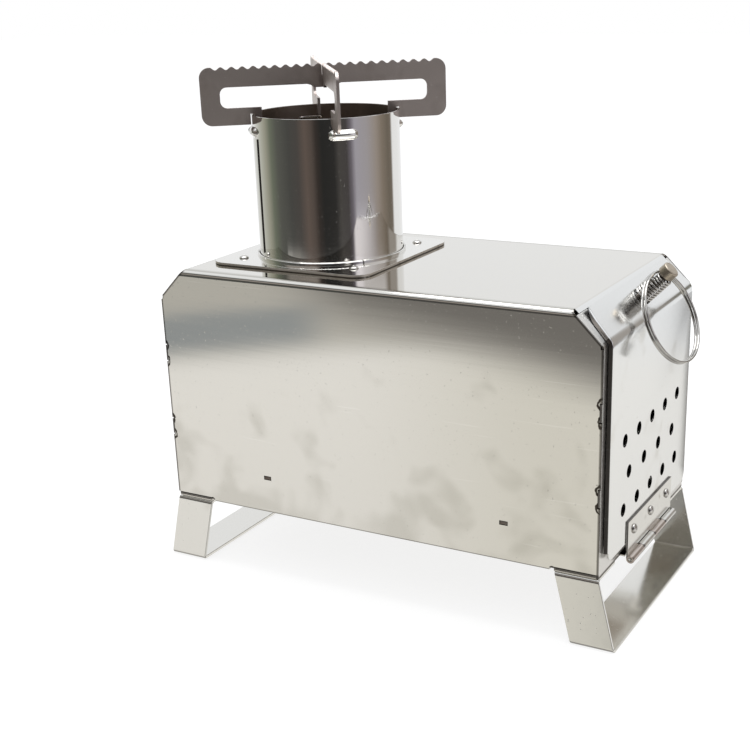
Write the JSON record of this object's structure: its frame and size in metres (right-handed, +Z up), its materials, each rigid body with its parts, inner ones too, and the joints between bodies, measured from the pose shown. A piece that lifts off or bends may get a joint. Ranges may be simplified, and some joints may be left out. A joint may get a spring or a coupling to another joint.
{
  "type": "twig stove",
  "caption": "Box twig stove of folded stainless sheet on splayed strip legs, with a drop-down door with air holes and a ring handle, and a lift-off chimney tube with a crossed pot support.",
  "frame": {"origin": "on the ground, under the middle of the overall length and width", "axes": "+X towards the door, +Y across the width, +Z up"},
  "size_m": [0.3594, 0.167, 0.3445],
  "materials": {
    "shell_steel": "smooth cold-rolled stainless sheet",
    "grate_steel": "plain stainless sheet",
    "leg_steel": "smooth stainless strip",
    "rivet_steel": "blind rivets with domed heads",
    "flange_steel": "polished stainless plate",
    "tube_steel": "mirror-polished stainless tube",
    "support_steel": "dark satin steel plate",
    "door_steel": "bright stainless sheet",
    "hinge_steel": "bright steel hinge",
    "stud_steel": "dull heat-tinted steel",
    "wire_steel": "bright steel wire",
    "fastener_steel": "plain steel"
  },
  "bodies": {
    "firebox": {"body_shell": "shell_steel", "rear_panel": "shell_steel", "front_frame": "shell_steel", "floor_tray": "shell_steel", "fire_grate": "grate_steel", "front_leg": "leg_steel", "rear_leg": "leg_steel", "leg_rivets": "rivet_steel", "flange_plate": "flange_steel", "flange_rivets": "rivet_steel", "hinge_leaf_body": "hinge_steel", "hinge_pin": "hinge_steel", "body_leaf_rivets": "rivet_steel"},
    "door": {"door": "door_steel", "hinge_leaf_door": "hinge_steel", "door_leaf_rivets": "rivet_steel", "handle_stud": "stud_steel", "handle_spring": "wire_steel", "handle_washer": "fastener_steel", "handle_nut": "fastener_steel"},
    "ring": {"pull_ring": "wire_steel"},
    "chimney": {"chimney_tube": "tube_steel"},
    "support_lower": {"pot_support_lower": "support_steel"},
    "support_upper": {"pot_support_upper": "support_steel"}
  },
  "joints": [
    {"name": "door_hinge", "type": "hinge", "parent": "firebox", "child": "door", "pos_m": [0.15779, 0, 0.04575], "axis": [0, 1, 0], "range_deg": [0, 90]},
    {"name": "ring_swing", "type": "hinge", "parent": "door", "child": "ring", "pos_m": [0.15376, 0, 0.22173], "axis": [0.1564, 0.9877, 0], "range_deg": [-65, 0]},
    {"name": "chimney_lift", "type": "slide", "parent": "firebox", "child": "chimney", "axis": [0, 0, 1], "range_m": [0, 0.06]},
    {"name": "lower_support_lift", "type": "slide", "parent": "chimney", "child": "support_lower", "axis": [0, 0, 1], "range_m": [0, 0.04]},
    {"name": "upper_support_lift", "type": "slide", "parent": "support_lower", "child": "support_upper", "axis": [0, 0, 1], "range_m": [0, 0.03]}
  ]
}
